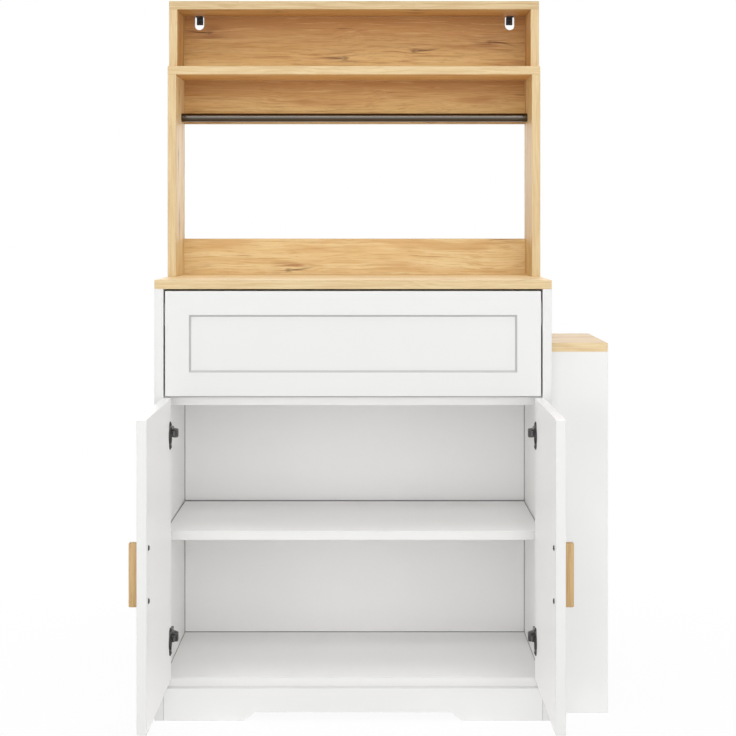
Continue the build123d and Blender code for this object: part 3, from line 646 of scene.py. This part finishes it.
wood_screw = cross_screw(3.4, 1.7, 1.6, 10.0, 0.1)
handle_screw = cross_screw(5.2, 2.6, 2.0, 27.0, 0.4)
plate_screw = cross_screw(3.6, 0.5, 1.6, 14.0, 0.1)
inner_face = carcass_half * metre
hinge_levels = (577.0, 165.0)
door_face, cup_y, flange_top, cup_screw_steps = 366.0, -23.5, 2.2, (-22, 22)
handle_y, handle_screw_levels = -354.0, (320.0, 416.0)
plate_y, plate_thickness, plate_screw_steps = 55.0, 3.0, (-20, 20)
for name, side in sides:
    heads = [carried(handle_screw, at(side, door_face, handle_y, level), (-side, 0, 0))
             for level in handle_screw_levels]
    heads += [carried(wood_screw, at(side, door_face - flange_top, cup_y, level + step), (-side, 0, 0))
              for level in hinge_levels for step in cup_screw_steps]
    screws = mesh_piece(name + "_door_screw_set", heads, black_nickel, "door_" + name)
    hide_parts(name + "_door_screws")
heads = [carried(plate_screw, at(side, inner_face - plate_thickness, plate_y, level + step), (-side, 0, 0))
         for name, side in sides for level in hinge_levels for step in plate_screw_steps]
plate_screws = mesh_piece("hinge_plate_screw_set", heads, nickel, "cabinet")
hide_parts("hinge_plate_screws")

# Hinge cups: pressed steel bowls, plated nearly black, with a beaded rim and two screw ears.
# Each is sunk in a round bore in its door's inner face and held by two small screws.
bead_rows = [(0.0, -10.2), (15.4, -10.2), (16.4, -9.7), (16.7, -8.6), (16.7, 0.7), (17.1, 2.2), (17.7, 2.6),
             (18.3, 2.3)]
ear_rows = [(0.8, 2.2), (0.3, 1.9), (0.0, 1.3), (0.0, 0.0)]
bowl_rows = [(17.4, 0.0), (17.4, -10.6), (17.0, -11.0), (0.0, -11.0)]
ear_half_length, ear_half_width, rim_radius, cup_sides = 28.0, 12.5, 19.2, 144


def hinge_cup():
    """Cup about its axis Z, in metres: rows of radius and height for the bowl, and an outer edge that
    is the further of a circle and a slot with round ends, measured out from the middle."""
    turn = np.linspace(0, 2 * math.pi, cup_sides + 1)
    along, across = np.abs(np.cos(turn)), np.abs(np.sin(turn))
    straight = ear_half_width / np.maximum(across, 1e-6)
    reach = ear_half_length - ear_half_width
    end = reach * along + np.sqrt(np.maximum(ear_half_width ** 2 - (reach * across) ** 2, 0))
    slot = np.where(straight * along <= reach, straight, end)
    outer = np.maximum(slot, rim_radius)
    rows = [(radius + 0 * turn, height) for radius, height in bead_rows]
    rows += [(outer - inset, height) for inset, height in ear_rows]
    rows += [(radius + 0 * turn, height) for radius, height in bowl_rows]
    radius = np.stack([row for row, height in rows])
    height = np.array([height for row, height in rows])[:, None]
    return np.stack([radius * np.sin(turn), radius * np.cos(turn), height + 0 * turn], -1) / metre


def stood(sheet, side, place):
    """Sheet about Z carried to a place on one side: its Z faces the cabinet's middle, its X runs along
    the depth and its Y stands up."""
    return np.stack([-side * sheet[..., 2], sheet[..., 0], sheet[..., 1]], -1) + np.array(place)


for name, side in sides:
    bowls = [stood(hinge_cup(), side, at(side, door_face, cup_y, level)) for level in hinge_levels]
    cups = mesh_piece(name + "_hinge_cup_pair", bowls, black_nickel, "door_" + name)
    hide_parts(name + "_hinge_cups")

# Hinge plates: cast metal crosses in dark nickel, which carry the hinge arms.
# Two flush screws hold each one to a cabinet side.
plate_half, wing_half = (20.0, 13.0), (7.0, 26.0)
corner_power, plate_sides = 9, 160
to_middle = 60.0
plate_insets = [to_middle, 0.8, 0.3, 0.0, 0.0, to_middle]
plate_heights = [plate_thickness, plate_thickness, 2.7, 2.2, 0.0, 0.0]


def hinge_plate():
    """Plate about its middle, in metres: the outer edge is the further of two crossed rectangles with
    rounded corners, each a power curve of the angle, and the rows round its rim over."""
    turn = np.linspace(0, 2 * math.pi, plate_sides + 1)
    along, across = np.abs(np.cos(turn)) ** corner_power, np.abs(np.sin(turn)) ** corner_power
    edges = [(along / length ** corner_power + across / height ** corner_power) ** (-1 / corner_power)
             for length, height in (plate_half, wing_half)]
    radius = np.maximum(np.maximum(*edges) - np.array(plate_insets)[:, None], 0)
    height = np.array(plate_heights)[:, None]
    return np.stack([radius * np.cos(turn), radius * np.sin(turn), height + 0 * turn], -1) / metre


sheets = [stood(hinge_plate(), side, at(side, inner_face, plate_y, level))
          for name, side in sides for level in hinge_levels]
plates = mesh_piece("hinge_plate_set", sheets, nickel, "cabinet")
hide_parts("hinge_plates")

# Hinge arms: folded steel channels in dark nickel, clipped on the plates and held by a fixing screw.
# Each ends in a fork with a riveted pin, on which the hinge link turns.
arm_near = np.array([(379.0, 75.0), (379.0, 52.0), (379.0, 38.5), (372.0, 29.5), (364.4, 19.8),
                     (364.1, 16.4)])
arm_far = np.array([(369.2, 75.0), (369.0, 52.0), (367.6, 46.6), (360.6, 38.2), (354.4, 29.0),
                    (354.1, 16.4)])
arm_half_height, arm_round = 8.0, 1.6
nose_out, nose_y, nose_radius = 360.6, 12.5, 3.5
cheek_foot, cheek_edge, cheek_back, cheek_draw = 5.7, 0.3, 6.0, 3.0
cheek_rim, cheek_sides = [0.0, 0.93, 1.0, 1.0, 0.93, 0.0], 64
rivet_rows = [(0, 0.5), (1.2, 0.42), (2.0, 0.2), (2.3, -0.1), (0, -0.1)]
pin_radius, pin_half_length, pin_sides = 1.5, 6.0, 40
fixing_place = (369.1, 62.0, 0.0)


def hinge_arm():
    """Arm in millimetres out, back and up, about its hinge level: rows run along the arm, and each
    section is a rectangle between the near and far lines whose far corners are quarter circles."""
    width = np.linalg.norm(arm_far - arm_near, axis=1)[:, None]
    share_top = 1 - arm_round * (1 - np.sin(ease_steps)) / width
    up = arm_half_height - arm_round * (1 - np.cos(ease_steps))
    foot = np.zeros_like(width)
    share = np.concatenate([foot, share_top, share_top[:, ::-1], foot, foot], 1)
    level = np.concatenate([[arm_half_height], up, -up[::-1], [-arm_half_height, arm_half_height]])
    plan = arm_near[:, None] + share[..., None] * (arm_far - arm_near)[:, None]
    return capped(np.concatenate([plan, np.broadcast_to(level[None, :, None], (*share.shape, 1))], -1))


def fork_cheek(low, high):
    """One cheek of the fork, in millimetres: a slot shape round the pin, drawn out backwards into the
    arm, its rim rounded over by rows of size and height."""
    turn = np.linspace(0, 2 * math.pi, cheek_sides + 1)
    out = np.where(np.cos(turn) > 0, nose_radius, nose_radius + cheek_draw) * np.cos(turn)
    back = nose_radius * np.sin(turn) + np.where(np.sin(turn) > 0, cheek_back, 0.0)
    size = np.array(cheek_rim)[:, None]
    level = np.array([low, low, low + cheek_edge, high - cheek_edge, high, high])[:, None]
    middle = cheek_back / 2
    y = nose_y + middle + (back - middle) * size
    return np.stack([nose_out + out * size, y, level + 0 * turn], -1)


def rivet(level, away):
    """Domed end of the fork's pin, in millimetres, turned from rows and standing on a cheek."""
    return lathe(rivet_rows, pin_sides) * (1, 1, away) + (nose_out, nose_y, level)


def arm_placed(sheet, side, level):
    """Arm's sheet carried from millimetres about its level to a cabinet side, in metres."""
    return sheet * (side / metre, 1 / metre, 1 / metre) + np.array(at(side, 0, 0, level))


pin_rows = [(0, -pin_half_length), (pin_radius, -pin_half_length), (pin_radius, pin_half_length),
            (0, pin_half_length)]
fork_pin = lathe(pin_rows, pin_sides) + (nose_out, nose_y, 0)
fixing_screw = carried(cross_screw(3.4, 0.9, 1.4, 4.0, 0.4) * metre, fixing_place, (-1, 0, 0))
arm_pieces = [*hinge_arm(), fork_cheek(cheek_foot, arm_half_height),
              fork_cheek(-arm_half_height, -cheek_foot), rivet(arm_half_height, 1),
              rivet(-arm_half_height, -1), fork_pin, fixing_screw]
sheets = [arm_placed(sheet, side, level)
          for sheet in arm_pieces for name, side in sides for level in hinge_levels]
arms = mesh_piece("hinge_arm_set", sheets, nickel, "cabinet")
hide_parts("hinge_arms")

# Drawer box: thin boards in the carcass's white laminate, screwed together round a hardboard floor.
# It runs on the ball-bearing slides, behind the drawer front.
dress(white_board, "drawer_box_front", "drawer_side_left", "drawer_side_right", "drawer_back")

# Pull-out table: a hollow leg of white laminated boards, fixed under the end of the oak-look leaf.
# Two grey nylon rollers under the leg's base carry it over the floor, and a batten stops the leaf.
# Painted shade: the leg's front is painted darker towards its top.
leg_pale, leg_deep, leg_upper_shade = linear(235, 235, 234), linear(233, 233, 232), linear(222, 222, 221)
leg_shade_low, leg_shade_high = 0.36, 0.76
scuff_size, scuff_depth, nylon_sheen = 0.006, 0.0001, (0.5, 0.65)


def painted_shade_rise(low, high):
    """Mask that rises smoothly from 0 to 1 between two heights, for painted shade on the upper part of a
    leg.
    """
    return lambda tree, place: faded(tree, split(tree, place)[2], low, high)


leg_masks = [(painted_shade_rise(leg_shade_low, leg_shade_high), leg_upper_shade)]
dress(laminate("leg_front_white", leg_pale, leg_deep, front_sheen, leg_masks), "leg_front")
white_leg = laminate("white_leg_laminate", linear(234, 234, 233), linear(232, 232, 231), front_sheen)
dress(white_leg, "leg_back", "leg_inner", "leg_outer", "leg_base")
dress(white_board, "leaf_stop")
material, tree, shader, place = new_material("grey_nylon")
scuffs = noise(tree, place, scuff_size, 3.0)
nylon = mixed(tree, scuffs, linear(70, 71, 73), linear(92, 93, 95))
finish(tree, shader, nylon, between(tree, scuffs, *nylon_sheen), scuffs, scuff_depth)
dress(material, "leg_roller_front", "leg_roller_rear")

# Studio: a white floor that runs to the horizon, a soft even sky, and wide lamps in front, above, behind
# and at both sides. Floor and sky look white, and near the object the floor keeps its shadow.
sky_strength = 0.365
floor_half, floor_roughness = 300.0, 0.9
shadow_reach, shadow_white = (0.5, 1.4), (0.94, 1.0)
floor_mesh = bpy.data.meshes.new("floor")
corner = np.array([[-1, -1, 0], [1, -1, 0], [1, 1, 0], [-1, 1, 0]]) * floor_half
floor_mesh.from_pydata(corner.tolist(), [], [(0, 1, 2, 3)])
floor = bpy.data.objects.new("floor", floor_mesh)
bpy.context.scene.collection.objects.link(floor)


def seen_directly(tree):
    """Output that is 1 for what the camera sees, straight or in gloss or glass, and 0 for light."""
    rays = add(tree, "LightPath", {}).outputs
    straight = calc(tree, "MAXIMUM", rays["Is Camera Ray"], rays["Is Glossy Ray"])
    return calc(tree, "MAXIMUM", straight, rays["Is Transmission Ray"])


material, tree, shader, place = new_material("studio_floor")
shader.inputs["Base Color"].default_value = linear(250, 250, 250)
shader.inputs["Roughness"].default_value = floor_roughness
glow = add(tree, "Emission", {"Color": (1, 1, 1, 1), "Strength": 1.0})
from_middle = add(tree, "VectorMath", {0: place}, operation="LENGTH").outputs["Value"]
white_share = add(tree, "MapRange", dict(enumerate((from_middle, *shadow_reach, *shadow_white)))).outputs[0]
share = times(tree, seen_directly(tree), white_share)
blend = add(tree, "MixShader", {0: share, 1: shader.outputs[0], 2: glow.outputs[0]})
tree.links.new(blend.outputs[0], tree.nodes["Material Output"].inputs["Surface"])
floor_mesh.materials.append(material)

world = bpy.data.worlds.new("studio_sky")
bpy.context.scene.world = world
world.use_nodes = True
tree = world.node_tree
strength = between(tree, seen_directly(tree), sky_strength, 1.0)
tree.links.new(strength, tree.nodes["Background"].inputs["Strength"])
tree.nodes["Background"].inputs["Color"].default_value = (1, 1, 1, 1)


def soft_lamp(name, power, size, place, pitch, turn):
    """Wide lamp at a place, turned up from straight down by pitch and round by turn, in degrees."""
    lamp = bpy.data.lights.new(name, "AREA")
    lamp.shape = "RECTANGLE"
    lamp.energy = power
    lamp.size, lamp.size_y = size
    holder = bpy.data.objects.new(name, lamp)
    holder.location = place
    holder.rotation_euler = (math.radians(pitch), 0, math.radians(turn))
    bpy.context.scene.collection.objects.link(holder)


soft_lamp("front_lamp", 92.0, (6.0, 3.0), (0.0, -5.2, 1.6), 87, 0)
soft_lamp("high_lamp", 61.0, (2.6, 0.9), (0.0, -4.0, 4.4), 48, 0)
soft_lamp("over_lamp", 38.0, (3.0, 2.0), (0.0, -0.9, 4.4), 8, 0)
soft_lamp("rear_lamp", 45.0, (3.5, 2.4), (0.0, 5.2, 2.2), -78, 0)
soft_lamp("left_lamp", 34.0, (2.5, 2.0), (-3.8, -3.2, 1.3), 88, -50)
soft_lamp("right_lamp", 34.0, (2.5, 2.0), (3.8, -3.2, 1.3), 88, 50)

# Camera: level and straight at the front, with a long lens, a little above the worktop.
# Its shift puts the horizon above the middle of the picture, as in the photograph.
camera = bpy.data.cameras.new("camera")
camera.sensor_width = 36.0
camera.lens = 82.74
camera.shift_y = -0.197
camera_object = bpy.data.objects.new("camera", camera)
camera_object.location = (-0.0294, -3.415, 1.002)
camera_object.rotation_euler = (math.radians(90), 0, 0)
bpy.context.scene.collection.objects.link(camera_object)
bpy.context.scene.camera = camera_object
bpy.context.scene.view_settings.view_transform = "Standard"
